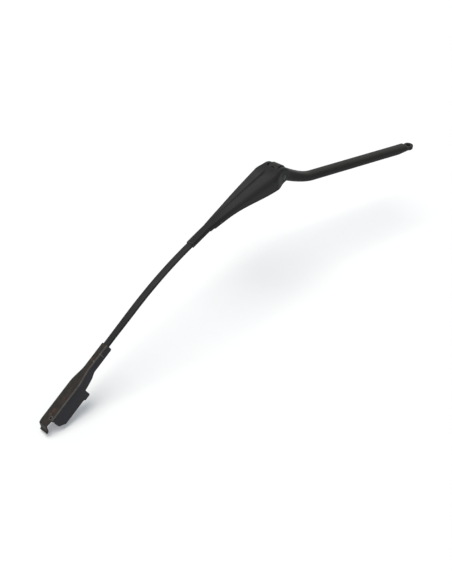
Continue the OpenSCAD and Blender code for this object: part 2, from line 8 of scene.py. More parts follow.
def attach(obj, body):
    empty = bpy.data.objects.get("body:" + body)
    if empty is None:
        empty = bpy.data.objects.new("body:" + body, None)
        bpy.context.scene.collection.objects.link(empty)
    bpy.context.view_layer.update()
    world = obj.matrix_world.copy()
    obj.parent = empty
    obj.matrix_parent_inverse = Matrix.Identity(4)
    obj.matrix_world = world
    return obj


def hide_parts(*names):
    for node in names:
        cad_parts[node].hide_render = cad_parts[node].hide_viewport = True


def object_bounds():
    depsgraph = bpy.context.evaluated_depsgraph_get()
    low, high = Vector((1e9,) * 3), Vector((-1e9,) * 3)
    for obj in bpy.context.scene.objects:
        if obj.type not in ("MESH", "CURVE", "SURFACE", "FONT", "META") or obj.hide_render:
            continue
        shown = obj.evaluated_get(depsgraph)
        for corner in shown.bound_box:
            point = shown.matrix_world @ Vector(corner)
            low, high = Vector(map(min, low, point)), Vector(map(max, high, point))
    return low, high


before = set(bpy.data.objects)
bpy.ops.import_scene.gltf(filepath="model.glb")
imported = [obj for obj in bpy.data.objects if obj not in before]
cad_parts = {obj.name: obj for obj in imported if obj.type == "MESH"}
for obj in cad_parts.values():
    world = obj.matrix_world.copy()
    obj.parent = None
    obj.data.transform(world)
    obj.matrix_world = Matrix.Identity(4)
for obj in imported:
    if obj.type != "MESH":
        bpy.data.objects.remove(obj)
cad_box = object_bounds()
MM = 0.001

# The numbers of the part's source that the detailed pieces follow, in millimetres and degrees

# The arm's frame: the place of its hinge and its slope against the glass
HINGE = (247.0, -73.7, 41.4)
PITCH = 11.0

# Head: spindle eye, bar, neck, and the crown with the link's slot and the stop nose
EYE_D, EYE_H, BORE_D, SEAT_D = 15.0, 5.6, 6.0, 18.4
BAR_W, BAR_T, BAR_LOW, THIN_L = 16.6, 12.6, 2.4, 24.0
NECK_W, NECK_T, NECK_L, NECK_DROP, NECK_LIFT = 16.0, 19.0, 66.0, 27.7, 3.0
KNUCKLE_R, CROWN_R, SLOT_W, STOP_X, STOP_R = 10.5, 14.6, 4.6, 9.5, 3.0

# Pins and bushes
PIN_D, BUSH_D = 7.0, 9.6
SPRING_PIN_D, SPRING_PIN = 4.0, (-6.0, -5.5)
ANCHOR_D, ANCHOR = 3.6, (125.0, 11.0)

# Retainer: sheet and plan, crest line, dome, crease, walls, collar and notch
SHEET, FOLD_R, EAR_W, EAR_FLAT, BELLY_W, BELLY_X = 1.2, 3.4, 33.0, 2.0, 38.8, 18.0
CREST_Z, CREST_X, CREST_R, TAIL_FROM, TAIL_R = 17.7, 95.0, 1290.0, 7.0, 13.2
DOME_H, DOME_X, DOME_FULL = 0.8, 24.0, 4.0
NEAR_SWELL, CREASE_SIDE, CREASE_END_SIDE, CREASE_FLANK = 5.5, 3.0, 1.0, 1.6
CREASE_DEPTH, CREASE_END, CREASE_FULL = 2.2, 0.5, 26.0
EAR_DROP, RISE_FROM, RISE_L = 8.4, 6.0, 112.0
RETAINER_L, COLLAR_L, TIGHTEN_L, FLARE_L, FLARE_STEP = 178.0, 42.0, 30.0, 8.0, 1.5
NOTCH_W, NOTCH_REACH = 19.0, 5.0

# Link and spring
LINK_ARM, LINK_L, LINK_RATIO, MAX_LIFT = 3.4, 32.0, 0.944, 60.0
WIRE_D, COIL_D, TURNS = 1.8, 9.5, 28

# Rod
ROD_W, ROD_T, ROD_EDGE, ROD_TAIL, ROD_GRIP = 9.0, 4.6, 1.3, 6.0, 36.0
ARCH_R, ARCH_ANGLE, ROD_STRAIGHT, TWIST = 485.0, 12.9, 56.0, 14.0

# Blade shell: sheet, sleeve, flank, walls, tab, end lip and latch hole
SHELL_T, SHELL_W, SHELL_FOLD, WEB_RISE = 1.5, 20.4, 2.8, 0.4
SLEEVE_L, SLEEVE_DROP, FLANK_L, FLANK_DROP = 38.0, 6.0, 20.0, 8.6
WALL_L, WALL_DEPTH, TAB_DEPTH, TAB_L, TONGUE_L = 51.5, 16.0, 2.2, 10.5, 8.0
LIP_W, LIP_L, LIP_ANGLE, LIP_BEND, FOOT_L, FOOT_TURN = 15.0, 6.2, 64.0, 2.4, 2.6, 46.0
LATCH_D, LATCH_BACK, LATCH_SIDE = 4.0, 10.0, 4.6

# Clearances, and the gap in the folded collars' underside
PRESS, MOVE, SEAM = 0.02, 0.4, 1.2
CLEAR = 2 * PRESS

COLLAR_X = RETAINER_L - COLLAR_L
COLLAR_W = ROD_W + 2 * (CLEAR + SHEET)


def mix(a, b, t):
    """From a to b as t goes from 0 to 1."""
    return a + (b - a) * t


def clamp01(t):
    return max(0.0, min(1.0, t))


def ease(t):
    """A smooth step from 0 to 1."""
    t = clamp01(t)
    return t * t * (3 - 2 * t)


# The retainer's outline, as functions of the distance x from the hinge pin
def tail_round(x, start):
    """The round end behind the hinge: 1 at its start, 0 at its tip."""
    return math.sqrt(max(0, 1 - ((start - x) / (start + TAIL_R)) ** 2))


def top_z(x):
    if x >= TAIL_FROM:
        dome = DOME_H * (1 - ease((x - DOME_FULL) / (DOME_X - DOME_FULL)))
        return CREST_Z - (x - CREST_X) ** 2 / (2 * CREST_R) + dome
    return top_z(TAIL_FROM) * tail_round(x, TAIL_FROM)


def half_width(x):
    if x < BELLY_X:
        return mix(EAR_W, BELLY_W, ease((x - EAR_FLAT) / (BELLY_X - EAR_FLAT))) / 2
    return mix(BELLY_W, COLLAR_W, clamp01((x - BELLY_X) / (COLLAR_X + FLARE_L - BELLY_X))) / 2


ROD_Z0 = top_z(COLLAR_X) - SHEET - CLEAR - ROD_T / 2
ROD_Z1 = top_z(RETAINER_L) - SHEET - CLEAR - ROD_T / 2
ROD_SLOPE = math.degrees(math.atan2(ROD_Z1 - ROD_Z0, COLLAR_L))


def rod_mid_z(x):
    return ROD_Z0 + (x - COLLAR_X) * math.tan(math.radians(ROD_SLOPE))


def collar_bottom(x):
    return rod_mid_z(x) - ROD_T / 2 - CLEAR - SHEET


def wall_z(x):
    if x < 0:
        return -EAR_DROP * tail_round(x, 0)
    if x <= COLLAR_X:
        risen = ease((x - RISE_FROM) / (RISE_L - RISE_FROM))
        return mix(-EAR_DROP, collar_bottom(COLLAR_X) - FLARE_STEP, risen)
    return collar_bottom(x)


def past_crease(x):
    """0 where the crease is at its full depth, 1 where the collar begins."""
    return clamp01((x - CREASE_FULL) / (COLLAR_X - CREASE_FULL))


def crease(x):
    if x < CREASE_FULL:
        return CREASE_DEPTH * ease((x - TAIL_FROM) / (CREASE_FULL - TAIL_FROM))
    return mix(CREASE_DEPTH, CREASE_END, past_crease(x))


def inner_crease(x):
    """The crease in the inner skin, which is flat again where the rod begins."""
    return crease(x) * (1 - ease((x - COLLAR_X + TIGHTEN_L) / (TIGHTEN_L - ROD_TAIL)))


TIGHT_R = SHEET + ROD_EDGE - CLEAR


def far_fold(x):
    return mix(FOLD_R, TIGHT_R, ease((x - COLLAR_X + TIGHTEN_L) / TIGHTEN_L))


def near_fold(x):
    return far_fold(x) + NEAR_SWELL * ease(x / CREASE_FULL) * (1 - past_crease(x))


def crease_y(x):
    return -mix(CREASE_SIDE, CREASE_END_SIDE, past_crease(x))


def direction(deg):
    """A unit vector at an angle in a plane."""
    return Vector((math.cos(math.radians(deg)), math.sin(math.radians(deg))))


def tilt(deg):
    """A turn about the Y axis, which lowers +X."""
    return Matrix.Rotation(math.radians(deg), 4, "Y")


# ARM and SHELL carry points of the arm's and of the shell's own frame into the part's frame
ARM = Matrix.Translation(Vector(HINGE)) @ tilt(PITCH)
END_SLOPE = ROD_SLOPE - ARCH_ANGLE
ROD_START = Vector((COLLAR_X + ROD_TAIL, rod_mid_z(COLLAR_X + ROD_TAIL)))
COLLAR_RUN = (RETAINER_L + 3 - ROD_START[0]) / math.cos(math.radians(ROD_SLOPE))
ARCH_START = ROD_START + COLLAR_RUN * direction(ROD_SLOPE)
ARCH_CENTRE = ARCH_START + ARCH_R * direction(ROD_SLOPE - 90)
ARCH_END = ARCH_CENTRE + ARCH_R * direction(END_SLOPE + 90)
SHELL_AT = ARCH_END + ROD_STRAIGHT * direction(END_SLOPE)
SHELL = (ARM @ Matrix.Translation((SHELL_AT[0], 0, SHELL_AT[1])) @ tilt(-END_SLOPE)
         @ Matrix.Rotation(math.radians(TWIST), 4, "X"))
ANCHOR_AT = tuple(ARM @ Vector((ANCHOR[0], 0, ANCHOR[1])))


# Helpers that make and cut meshes
def build(name, points, faces, place=Matrix.Identity(4)):
    """A mesh object from points in millimetres, carried by a matrix into the part's frame."""
    mesh = bpy.data.meshes.new(name)
    mesh.from_pydata([tuple((place @ Vector(p)) * MM) for p in points], [], faces)
    mesh.validate()
    bm = bmesh.new()
    bm.from_mesh(mesh)
    bmesh.ops.recalc_face_normals(bm, faces=bm.faces)
    bm.to_mesh(mesh)
    bm.free()
    o = bpy.data.objects.new(name, mesh)
    bpy.context.scene.collection.objects.link(o)
    return o


def loft(name, rings, place=Matrix.Identity(4), strips=False):
    """A closed skin over rings. With strips, a ring's far half runs back beside its near half."""
    n, m = len(rings[0]), len(rings)
    points = [p for r in rings for p in r]
    faces = []
    for j in range(m - 1):
        for i in range(n):
            a, b = j * n + i, j * n + (i + 1) % n
            faces.append((a, a + n, b + n, b))
    last = (m - 1) * n
    if strips:
        for i in range(n // 2 - 1):
            faces.append((i, i + 1, n - 2 - i, n - 1 - i))
            faces.append((last + n - 1 - i, last + n - 2 - i, last + i + 1, last + i))
    else:
        faces.append(tuple(range(n)))
        faces.append(tuple(last + n - 1 - i for i in range(n)))
    return build(name, points, faces, place)


def applied(o):
    """Puts what the modifiers make into the mesh."""
    bpy.context.view_layer.update()
    mesh = bpy.data.meshes.new_from_object(o.evaluated_get(bpy.context.evaluated_depsgraph_get()))
    old = o.data
    o.modifiers.clear()
    o.data = mesh
    bpy.data.meshes.remove(old)
    return o


def cut(o, *tools, operation="DIFFERENCE"):
    """Takes the tools away from a piece, or joins or intersects them, and removes them."""
    for t in tools:
        m = o.modifiers.new("cut", "BOOLEAN")
        m.operation = operation
        m.solver = "EXACT"
        m.object = t
        applied(o)
        bpy.data.objects.remove(t)
    return o


def bevel(o, width):
    """Rounds the sharp edges, such as those of cuts and sheet ends."""
    m = o.modifiers.new("edge", "BEVEL")
    m.width = width * MM
    m.segments = 2
    m.limit_method = "ANGLE"
    m.angle_limit = math.radians(50)
    m.use_clamp_overlap = True
    return applied(o)


def smooth(o, angle):
    """Smooth shading, with edges over an angle kept sharp."""
    o.data.polygons.foreach_set("use_smooth", [True] * len(o.data.polygons))
    o.data.set_sharp_from_angle(angle=math.radians(angle))
    return o


def turned(name, profile, at, axis="Z", sides=64, place=Matrix.Identity(4)):
    """A turned piece: radii and heights of a profile along an axis through a place."""
    rings = []
    for r, h in profile:
        ring = []
        for i in range(sides):
            a = 2 * math.pi * i / sides
            p = (r * math.cos(a), r * math.sin(a), h)
            if axis == "Y":
                p = (p[0], p[2], p[1])
            ring.append(tuple(u + v for u, v in zip(p, at)))
        rings.append(ring)
    return loft(name, rings, place)


def cylinder(name, r, l, at=(0, 0, 0), axis="Z", sides=64, place=Matrix.Identity(4), r2=None):
    """A cylinder of length l that is centred on a place."""
    return turned(name, [(r, -l / 2), (r if r2 is None else r2, l / 2)], at, axis, sides, place)


def riveted(name, r, l, at, rise):
    """A pin along Y whose two ends are upset to low domes, each with a small flat."""
    steps = [math.radians(15 * k) for k in range(1, 6)]
    end = [(r, l / 2 - rise)] + [(r * math.cos(a), l / 2 - rise + rise * math.sin(a)) for a in steps]
    end = [(max(q, r * 0.15), h) for q, h in end]
    low = [(q, -h) for q, h in reversed(end)]
    return smooth(turned(name, low + end, at, "Y", 48), 50)


def prism(name, outline, low, high, plane="XZ", place=Matrix.Identity(4)):
    """A prism over an outline in a plane, from low to high along the third axis."""
    def point(p, h):
        return {"XZ": (p[0], h, p[1]), "XY": (p[0], p[1], h), "YZ": (h, p[0], p[1])}[plane]

    return loft(name, [[point(p, low) for p in outline], [point(p, high) for p in outline]], place)


def rounded(points, radii, steps=6):
    """An outline whose corners are rounded, each by its own radius."""
    out, n = [], len(points)
    for i in range(n):
        p, a, b = Vector(points[i]), Vector(points[i - 1]), Vector(points[(i + 1) % n])
        r = radii[i]
        if r <= 0:
            out.append(tuple(p))
            continue
        u, v = (a - p).normalized(), (b - p).normalized()
        half = u.angle(v) / 2
        run = min(r / math.tan(half), (a - p).length * 0.48, (b - p).length * 0.48)
        s, e = p + u * run, p + v * run
        for k in range(steps + 1):
            t = k / steps
            out.append(tuple((1 - t) ** 2 * s + 2 * t * (1 - t) * p + t * t * e))
    return out


def arc(cx, cz, r, a0, a1, steps):
    """Places on an arc about a centre, from one angle to another."""
    return [(cx + r * math.cos(math.radians(mix(a0, a1, i / steps))),
             cz + r * math.sin(math.radians(mix(a0, a1, i / steps)))) for i in range(steps + 1)]


def line(p, q, steps):
    """The places between two points, without the points themselves."""
    return [(mix(p[0], q[0], i / steps), mix(p[1], q[1], i / steps)) for i in range(1, steps)]


def channel(hw, zt, zb, t, rn, rf, dip, inner_dip, yc, steps=8, spans=4):
    """Closed outline of a folded channel, outer skin first.

    It has half width hw, top zt, bottom zb, sheet t, near fold rn and far fold rf. A crease at yc is
    dip deep in the outer skin and inner_dip in the inner one, and drops steeply on its far side.
    """
    def top(y0, y1, z, depth):
        """The top from its near fold to its far one, with the crease."""
        near = [(y, z - depth * (1 - (y - yc) / (y0 - yc)) ** 2.2)
                for y in (mix(y0, yc, i / 10) for i in range(1, 11))]
        steep = [(yc - CREASE_FLANK * i / 4, z - depth * mix(1, 0.1, ease(i / 4))) for i in range(1, 5)]
        edge = (yc - CREASE_FLANK, z - depth * 0.1)
        return near + steep + line(edge, (y1, z), 5)

    wi, zi = hw - t, zt - t
    outer = [(hw, zb)] + line((hw, zb), (hw, zt - rn), spans) + arc(hw - rn, zt - rn, rn, 0, 90, steps)
    outer += top(hw - rn, -hw + rf, zt, dip)
    outer += arc(-hw + rf, zt - rf, rf, 90, 180, steps)
    outer += line((-hw, zt - rf), (-hw, zb), spans) + [(-hw, zb)]
    inner = [(-wi, zb)] + line((-wi, zb), (-wi, zt - rf), spans)
    inner += arc(-hw + rf, zt - rf, rf - t, 180, 90, steps)
    inner += list(reversed(top(hw - rn, -hw + rf, zi, inner_dip)))
    inner += arc(hw - rn, zt - rn, rn - t, 90, 0, steps)
    inner += line((wi, zt - rn), (wi, zb), spans) + [(wi, zb)]
    return outer + inner


def pull_line():
    """The spring pin in the arm's frame, the slope of the line of pull and its length."""
    c, s = math.cos(math.radians(PITCH)), math.sin(math.radians(PITCH))
    at = Vector((SPRING_PIN[0] * c - SPRING_PIN[1] * s, SPRING_PIN[0] * s + SPRING_PIN[1] * c))
    pull = Vector(ANCHOR) - at
    return at, math.degrees(math.atan2(pull.y, pull.x)), pull.length


# Head: bar and neck are one sweep from the eye to the crown
# The bar starts inside the eye's rim, aims at a place before the hinge and ends wider than the neck
EYE_INSET, BAR_AIM_BACK, BAR_SWELL = 0.4, 14.0, 0.4
# The neck is a curve whose two handles follow the bar and a slope down from the crown
NECK_HANDLE, NECK_ENTRY_SLOPE = 20.0, 0.62
BAR_STEPS, NECK_STEPS = 24, 24
FLANGE_T, LINK_CLEAR, REST_GAP = 0.6, 0.8, 0.35
CAST_VOXEL, CAST_SMOOTH_STEPS, CAST_KEEP = 0.55, 6, 0.42


def superellipse(w, t, n=36, power=0.72):
    """The outline of a bar with well rounded corners."""
    out = []
    for i in range(n):
        a = 2 * math.pi * i / n
        c, s = math.cos(a), math.sin(a)
        out.append((math.copysign(abs(c) ** power, c) * w / 2, math.copysign(abs(s) ** power, s) * t / 2))
    return out


def head_rings():
    """Rings of the sweep from the spindle eye along the bar and round the neck to the crown."""
    run = HINGE[0] - BAR_AIM_BACK
    d = Vector((run, HINGE[1], 0)).normalized()
    end_x = HINGE[0] - NECK_L
    end = Vector((end_x, HINGE[1] * end_x / run, HINGE[2] - NECK_DROP))
    rise = (end.z - BAR_LOW) / Vector((end.x, end.y)).length

    def bar_at(s):
        return d * s + Vector((0, 0, BAR_LOW + rise * s))

    stop = Vector(HINGE) + Vector((0, 0, NECK_LIFT))
    a = end + NECK_HANDLE * Vector((d.x, d.y, rise)).normalized()
    b = stop - NECK_HANDLE * Vector((1, 0, NECK_ENTRY_SLOPE))
    reach = EYE_D / 2 - EYE_INSET
    mid = Vector((0, 0, EYE_H / 2))
    rows = [(mid, EYE_D - 1.6, EYE_H - 0.2),
            (d * reach * 0.6 + mid, BAR_W - 1, EYE_H - 0.2),
            (bar_at(reach + 2) + Vector((0, 0, 1.2)), BAR_W, BAR_T - 2.4)]
    bar_start = len(rows)
    bar_end_w = NECK_W + BAR_SWELL
    for i in range(BAR_STEPS + 1):
        t = i / BAR_STEPS
        rows.append((bar_at(THIN_L).lerp(end, t), mix(BAR_W, bar_end_w, t), BAR_T))
    for i in range(1, NECK_STEPS + 1):
        t = i / NECK_STEPS
        p = (1 - t) ** 3 * end + 3 * (1 - t) ** 2 * t * a + 3 * (1 - t) * t * t * b + t ** 3 * stop
        rows.append((p, mix(bar_end_w, NECK_W, t), mix(BAR_T, NECK_T, ease(t))))
    rings = []
    for i, (p, w, t) in enumerate(rows):
        after = rows[min(i + 1, len(rows) - 1)][0]
        along = d if i <= bar_start else (after - rows[i - 1][0]).normalized()
        side = Vector((0, 0, 1)).cross(along).normalized()
        up = along.cross(side)
        rings.append([tuple(p + side * x + up * z) for x, z in superellipse(w, t)])
    return rings


def link_slot(pin):
    """The crown's slot, less the metal that even the raised link doesn't reach."""
    x, y, z = HINGE
    eye_r = math.hypot(*SPRING_PIN) - PIN_D / 2 - LINK_CLEAR
    room = eye_r + MOVE
    back, front, tall = x + SPRING_PIN[0] - room - MOVE, x + 2 * CROWN_R, 30
    side = [(back, z - tall), (front, z - tall), (front, z + tall), (back, z + tall)]
    slot = prism("slot", side, y - SLOT_W / 2, y + SLOT_W / 2)
    lifted = Matrix.Translation(pin) @ tilt(PITCH - pull_line()[1] - LINK_RATIO * MAX_LIFT)
    arm_z = LINK_ARM / 2 + MOVE
    keep = [(-40, room), (room, room), (room, arm_z), (80, arm_z), (80, 80), (-40, 80)]
    return cut(slot, prism("keep", keep, -SLOT_W, SLOT_W, place=lifted))


def make_head():
    """The casting: its forms are joined, remeshed so that they flow together, and then bored."""
    o = loft("head_cast", head_rings())
    knuckle_w = EAR_W - 2 * SHEET - 2 * (FLANGE_T + MOVE)
    nose_z = top_z(STOP_X) - SHEET - crease(STOP_X) - STOP_R - REST_GAP
    nose = tuple(ARM @ Vector((STOP_X, 0, nose_z)))
    for part in (cylinder("eye", EYE_D / 2, EYE_H, (0, 0, EYE_H / 2)),
                 cylinder("cheeks", KNUCKLE_R, knuckle_w, HINGE, "Y"),
                 cylinder("crown", CROWN_R, NECK_W, HINGE, "Y", 96),
                 cylinder("nose", STOP_R, NECK_W, nose, "Y")):
        cut(o, part, operation="UNION")
    m = o.modifiers.new("cast", "REMESH")
    m.mode = "VOXEL"
    m.voxel_size = CAST_VOXEL * MM
    applied(o)
    m = o.modifiers.new("soften", "SMOOTH")
    m.factor = 0.5
    m.iterations = CAST_SMOOTH_STEPS
    applied(o)
    m = o.modifiers.new("fewer", "DECIMATE")
    m.ratio = CAST_KEEP
    applied(o)
    pin = (HINGE[0] + SPRING_PIN[0], HINGE[1], HINGE[2] + SPRING_PIN[1])
    through = 60
    cut(o,
        cylinder("bore", BORE_D / 2, through),
        cylinder("seat", SEAT_D / 2, 20, (0, 0, EYE_H + 10)),
        cylinder("under", EYE_D / 2 + 1, 20, (0, 0, -10)),
        cylinder("rim", BORE_D / 2, 0.7, (0, 0, EYE_H - 0.3), r2=BORE_D / 2 + 0.7),
        link_slot(pin),
        cylinder("pin_hole", BUSH_D / 2 + PRESS, through, HINGE, "Y"),
        cylinder("spring_hole", SPRING_PIN_D / 2 + PRESS, through, pin, "Y"))
    return smooth(o, 40)


# Retainer: one folded sheet, closed under the rod by the collar's two lips
def make_retainer():
    # The first ring stands just short of the tip, where the walls would have no height
    xs = [-0.985 * TAIL_R * math.cos(math.radians(90 * i / 16)) for i in range(17)]
    xs += [x for x in (k * 1.5 for k in range(1, 95)) if x < COLLAR_X]
    xs += [COLLAR_X, COLLAR_X + 1, COLLAR_X + 3, COLLAR_X + FLARE_L]
    xs += [mix(COLLAR_X + FLARE_L, RETAINER_L, i / 12) for i in range(1, 13)]
    rings = [[(x, p[0], p[1]) for p in
              channel(half_width(x), top_z(x), wall_z(x), SHEET, near_fold(x), far_fold(x),
                      crease(x), inner_crease(x), crease_y(x))] for x in xs]
    o = loft("retainer_sheet", rings, ARM, strips=True)
    lip_x = COLLAR_X + FLARE_L
    place = ARM @ Matrix.Translation((lip_x, 0, rod_mid_z(lip_x))) @ tilt(-ROD_SLOPE)
    low = -ROD_T / 2 - CLEAR - SHEET
    for s in (-1, 1):
        y0, y1 = sorted((s * SEAM / 2, s * (COLLAR_W / 2 - 0.3)))
        end = RETAINER_L - lip_x - 0.2
        box = [(0, y0), (end, y0), (end, y1), (0, y1)]
        cut(o, prism("lip", box, low, low + SHEET, "XY", place), operation="UNION")
        room = TIGHT_R + 1
        corner = [(0, -room), (room, -room), (room, 0)] + arc(0, 0, TIGHT_R, 0, -90, 8)
        corner = [(s * (COLLAR_W / 2 - TIGHT_R + p[0]), low + TIGHT_R + p[1]) for p in corner]
        cut(o, prism("corner", corner, 0, COLLAR_L, "YZ", place))
    n = NOTCH_W / 2
    notch = rounded([(-30, -n), (NOTCH_REACH, -n), (NOTCH_REACH, n), (-30, n)], [0, 2.2, 2.2, 0])
    through = 80
    cut(o,
        prism("notch", notch, -through / 2, through / 2, "XY", ARM),
        cylinder("pin_hole", PIN_D / 2 + PRESS, through, HINGE, "Y"),
        cylinder("anchor_hole", ANCHOR_D / 2 + PRESS, through, ANCHOR_AT, "Y"))
    bevel(o, 0.28)
    return smooth(o, 30)


# Rod: a flat bar, straight in the collar, arched, then twisted and straight again in the shell
ARCH_STEPS, TWIST_STEPS, TWIST_STOP = 40, 20, 4


def make_rod():
    rows = [(ROD_START, ROD_SLOPE, 0), (ARCH_START, ROD_SLOPE, 0)]
    for i in range(1, ARCH_STEPS + 1):
        a = ROD_SLOPE - ARCH_ANGLE * i / ARCH_STEPS
        rows.append((ARCH_CENTRE + ARCH_R * direction(a + 90), a, 0))
    twist_end = SHELL_AT - TWIST_STOP * direction(END_SLOPE)
    for i in range(1, TWIST_STEPS + 1):
        t = i / TWIST_STEPS
        rows.append((ARCH_END.lerp(twist_end, t), END_SLOPE, TWIST * ease(t)))
    rows.append((SHELL_AT + ROD_GRIP * direction(END_SLOPE), END_SLOPE, TWIST))
    w, t = ROD_W / 2 - ROD_EDGE, ROD_T / 2 - ROD_EDGE
    outline = [p for c in ((w, t, 0), (-w, t, 90), (-w, -t, 180), (w, -t, 270))
               for p in arc(c[0], c[1], ROD_EDGE, c[2], c[2] + 90, 6)]
    rings = []
    for p, slope, twist in rows:
        c, s = math.cos(math.radians(twist)), math.sin(math.radians(twist))
        up = (-math.sin(math.radians(slope)), math.cos(math.radians(slope)))
        ring = []
        for y, z in outline:
            across, lift = y * c - z * s, y * s + z * c
            ring.append((p[0] + lift * up[0], across, p[1] + lift * up[1]))
        rings.append(ring)
    return smooth(loft("rod_bar", rings, ARM), 50)


# Blade shell: a folded channel with a sleeve round the rod, cut to its side view and its plan
SLEEVE_W = ROD_W + 2 * (CLEAR + SHELL_T)
SLEEVE_Z = ROD_T / 2 + CLEAR + SHELL_T
WEB_Z = SLEEVE_Z + WEB_RISE
FLANK_X = SLEEVE_L + FLANK_L
WALL_END = FLANK_X + WALL_L
WEB_END = WALL_END + TONGUE_L
GROW_FROM = SLEEVE_L - 4
FRONT_CUT, LIP_INSET = 7, 2.6


def make_shell():
    xs = [mix(0, GROW_FROM, i / 12) for i in range(13)]
    xs += [mix(GROW_FROM, FLANK_X + 2, i / 26) for i in range(1, 27)]
    xs += [mix(FLANK_X + 2, WALL_END, i / 20) for i in range(1, 21)]
    xs += [mix(WALL_END, WEB_END, i / 8) for i in range(1, 9)]
    rings = []
    for x in xs:
        grown = ease((x - GROW_FROM) / (FLANK_L + 6))
        hw, zt = mix(SLEEVE_W, SHELL_W, grown) / 2, mix(SLEEVE_Z, WEB_Z, grown)
        fold = mix(SHELL_T + ROD_EDGE - CLEAR, SHELL_FOLD, grown)
        rings.append([(x, p[0], p[1]) for p in
                      channel(hw, zt, -2 * WALL_DEPTH, SHELL_T, fold, fold, 0, 0, 0, 7, 3)])
    o = loft("blade_shell_sheet", rings, SHELL, strips=True)
    under, foot = WEB_Z - SHELL_FOLD - 0.5, -WALL_DEPTH - TAB_DEPTH
    side = rounded([
        (0.02, WEB_Z + 2), (0.02, -SLEEVE_DROP), (GROW_FROM, -SLEEVE_DROP), (SLEEVE_L + 4, -FLANK_DROP),
        (FLANK_X, -FLANK_DROP), (FLANK_X, foot), (FLANK_X + TAB_L - 2, foot), (FLANK_X + TAB_L, -WALL_DEPTH),
        (WALL_END - FRONT_CUT, -WALL_DEPTH), (WALL_END + 1.2, -WALL_DEPTH + FRONT_CUT),
        (WALL_END + 1.2, under - 5), (WALL_END - 1, under), (WEB_END + 1, under), (WEB_END + 1, WEB_Z + 2)],
        [0, 2.6, 5, 5, 1.2, 2.4, 2, 1.4, 3, 3, 4, 2, 0, 0], 5)
    cut(o, prism("side", side, -30, 30, "XZ", SHELL), operation="INTERSECT")
    far, near, lip_far = -SHELL_W / 2, SHELL_W / 2, -SHELL_W / 2 + LIP_INSET
    plan = rounded([
        (-1, far - 1), (WEB_END - 5, far - 1), (WEB_END - 5, far + 0.2), (WEB_END, lip_far),
        (WEB_END, lip_far + LIP_W), (WEB_END - 2, lip_far + LIP_W + 0.3), (WALL_END + 1, near - 2),
        (WALL_END - 1, near + 1), (-1, near + 1)], [0, 0, 1.5, 0, 0, 1, 2, 0.5, 0], 5)
    cut(o, prism("plan", plan, -40, 40, "XY", SHELL), operation="INTERSECT")
    for s in (-1, 1):
        y0, y1 = sorted((s * SEAM / 2, s * (SLEEVE_W / 2 - 0.5)))
        box = [(0.2, y0), (GROW_FROM - 0.8, y0), (GROW_FROM - 0.8, y1), (0.2, y1)]
        cut(o, prism("lip", box, -SLEEVE_Z, -SLEEVE_Z + SHELL_T, "XY", SHELL), operation="UNION")
    tip = Vector((0, -LIP_BEND)) + LIP_BEND * direction(90 - LIP_ANGLE) + LIP_L * direction(-LIP_ANGLE)
    out = FOOT_L * direction(FOOT_TURN - LIP_ANGLE)
    lip = arc(0, -LIP_BEND, LIP_BEND, 90, 90 - LIP_ANGLE, 10) + [tuple(tip), tuple(tip + out)]
    turn = arc(tip.x, tip.y, SHELL_T, 270 - LIP_ANGLE + FOOT_TURN, 270 - LIP_ANGLE, 5)
    lip += [tuple(Vector(turn[0]) + out)] + turn
    lip += arc(0, -LIP_BEND, LIP_BEND - SHELL_T, 90 - LIP_ANGLE, 90, 8)
    lip = [(WEB_END - 0.01 + p[0], WEB_Z + p[1]) for p in lip]
    cut(o, prism("tip", lip, lip_far, lip_far + LIP_W, "XZ", SHELL), operation="UNION")
    cut(o, cylinder("hole", LATCH_D / 2, 20, (WEB_END - LATCH_BACK, LATCH_SIDE, 0), "Z", 48, SHELL))
    bevel(o, 0.25)
    return smooth(o, 30)


# Spring: one smooth wire through the link's hole, round the coil and round the anchor pin
LOOP_R, COIL_FROM, COIL_PITCH, COIL_STEPS = 3.4, 7, 1.12, 20
HOOK_GAP, HOOK_LEAD = 0.15, 3


def make_spring():
    at, slope, length = pull_line()
    place = ARM @ Matrix.Translation((at.x, 0, at.y)) @ tilt(-slope)
    path = [(p[0], p[1], 0) for p in arc(LINK_L + LOOP_R, 0, LOOP_R, 50, 330, 28)]
    r, x0, coil = (COIL_D - WIRE_D) / 2, LINK_L + COIL_FROM, TURNS * WIRE_D * COIL_PITCH
    steps = TURNS * COIL_STEPS
    for i in range(steps + 1):
        a = math.radians(360 * i / COIL_STEPS + 90)
        path.append((x0 + coil * i / steps, r * math.cos(a), r * math.sin(a)))
    hook = ANCHOR_D / 2 + WIRE_D / 2 + HOOK_GAP
    path += [(x0 + coil + HOOK_LEAD, 0, -hook), (mix(x0 + coil, length, 0.5), 0, -hook)]
    path += [(p[0], 0, p[1]) for p in arc(length, 0, hook, -90, 150, 20)]
    curve = bpy.data.curves.new("spring", "CURVE")
    curve.dimensions = "3D"
    curve.bevel_depth = WIRE_D / 2 * MM
    curve.bevel_resolution = 2
    curve.use_fill_caps = True
    spline = curve.splines.new("POLY")
    spline.points.add(len(path) - 1)
    for q, p in zip(spline.points, path):
        q.co = (*((place @ Vector(p)) * MM), 1)
    o = bpy.data.objects.new("spring_curve", curve)
    bpy.context.scene.collection.objects.link(o)
    bpy.context.view_layer.update()
    mesh = bpy.data.meshes.new_from_object(o.evaluated_get(bpy.context.evaluated_depsgraph_get()))
    bpy.data.objects.remove(o)
    spring = bpy.data.objects.new("tension_spring_wire", mesh)
    bpy.context.scene.collection.objects.link(spring)
    return smooth(spring, 60)


